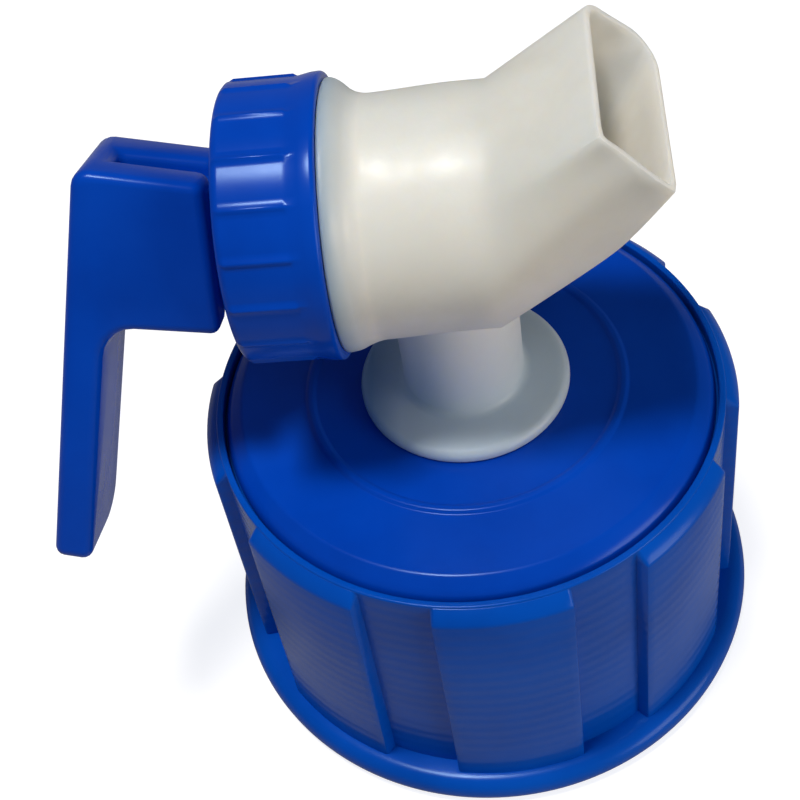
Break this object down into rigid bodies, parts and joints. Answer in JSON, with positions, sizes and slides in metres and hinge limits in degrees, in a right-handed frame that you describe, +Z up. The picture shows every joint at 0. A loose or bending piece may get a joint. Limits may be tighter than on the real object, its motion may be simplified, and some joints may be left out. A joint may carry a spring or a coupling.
{
  "type": "jerrycan tap",
  "caption": "Screw ring with a free-turning lid that carries a lever tap: a cross barrel with a turning plug, a ribbed collar nut and a slanted rectangular spout.",
  "frame": {"origin": "centre of the screw ring's open mouth, on its rim", "axes": "+Z up the ring towards the lid, +X along the barrel towards the spout, -Y towards the side that the lever opens to"},
  "size_m": [0.0897, 0.076, 0.0965],
  "materials": {
    "blue_plastic": "glossy moulded polyethylene",
    "white_plastic": "natural satin polyethylene",
    "seal_rubber": "matt black seal rubber"
  },
  "bodies": {
    "screw_ring": {"cap_ring": "blue_plastic"},
    "tap": {"lid_disc": "blue_plastic", "neck_gasket": "seal_rubber", "tap_body": "white_plastic", "flange_gasket": "seal_rubber", "lock_washer": "seal_rubber", "stem_locknut": "white_plastic", "thrust_washer": "white_plastic", "collar_nut": "blue_plastic"},
    "valve": {"valve_plug": "blue_plastic", "plug_o_ring": "seal_rubber", "lever_handle": "blue_plastic"}
  },
  "joints": [
    {"name": "tap_swivel", "type": "hinge", "parent": "screw_ring", "child": "tap", "pos_m": [0, 0, 0.0432], "axis": [0, 0, 1], "continuous": true},
    {"name": "lever_turn", "type": "hinge", "parent": "tap", "child": "valve", "pos_m": [-0.012, 0, 0.0776], "axis": [-1, 0, 0], "range_deg": [-25, 65]}
  ]
}
